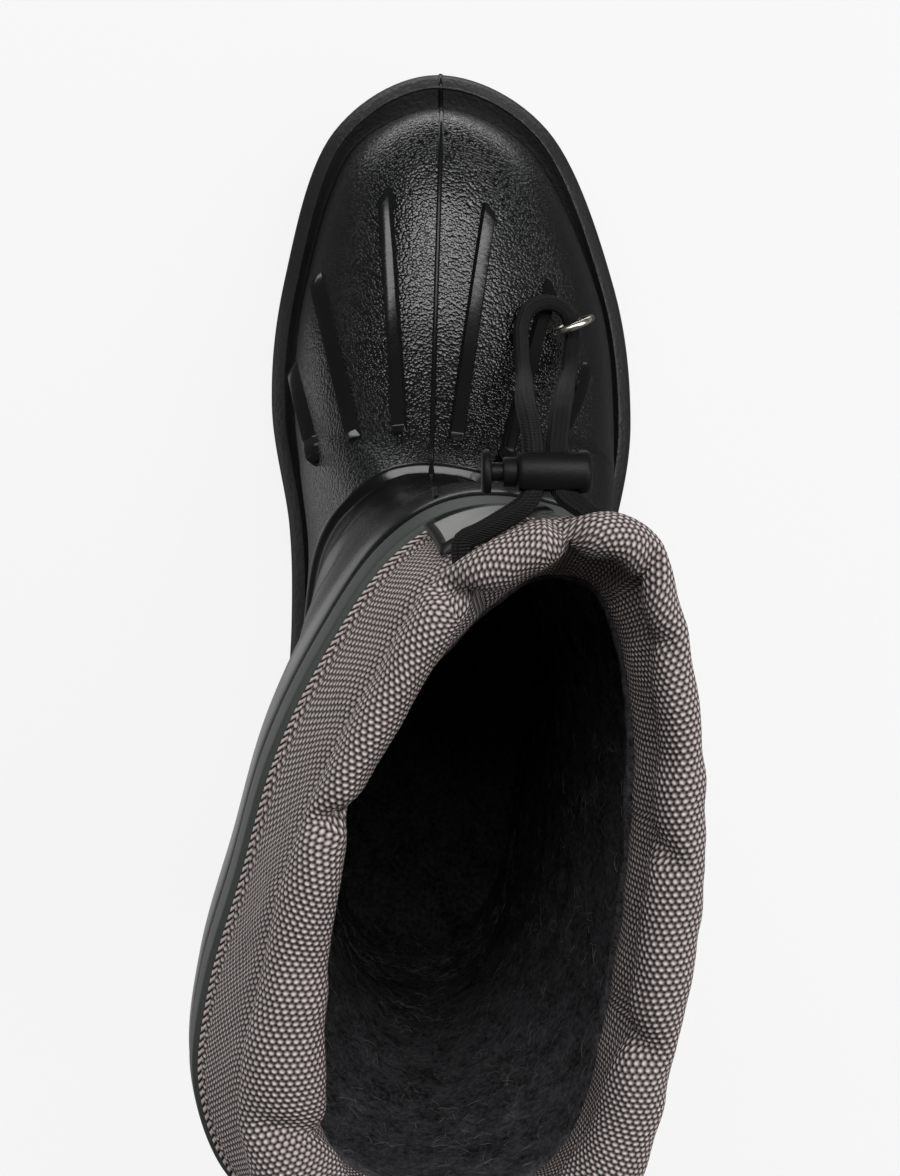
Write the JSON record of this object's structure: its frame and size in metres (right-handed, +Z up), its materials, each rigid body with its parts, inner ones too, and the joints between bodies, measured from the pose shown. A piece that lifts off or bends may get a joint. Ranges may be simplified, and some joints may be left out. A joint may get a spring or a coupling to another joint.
{
  "type": "winter boot",
  "caption": "Child's right winter boot with a moulded rubber foot and shaft, a lugged sole and a woven cuff that a drawcord with a spring lock closes.",
  "frame": {"origin": "on the floor under the middle of the boot's box, drawcord and lock left out", "axes": "+X to the boot's outer side, +Y from heel to toe, +Z up"},
  "size_m": [0.096, 0.2262, 0.2277],
  "materials": {
    "sole_rubber": "matte moulded",
    "black_rubber": "satin, grained on the foot",
    "grey_felt": "felt",
    "woven_cloth": "basket weave",
    "badge_rubber": "matte",
    "black_cord": "braided",
    "lock_plastic": "matte",
    "ring_steel": "bent wire"
  },
  "bodies": {
    "boot": {"outsole": "sole_rubber", "upper": "black_rubber", "insole": "grey_felt", "cuff": "woven_cloth", "badge": "badge_rubber", "drawcord": "black_cord", "cord_lock_barrel": "lock_plastic", "cord_ring": "ring_steel"},
    "button": {"cord_lock_button": "lock_plastic"}
  },
  "joints": [
    {"name": "lock_button_slide", "type": "slide", "parent": "boot", "child": "button", "axis": [1, 0, 0], "range_m": [0, 0.0018], "stiffness_N_per_m": 400, "springref_m": -0.002}
  ]
}
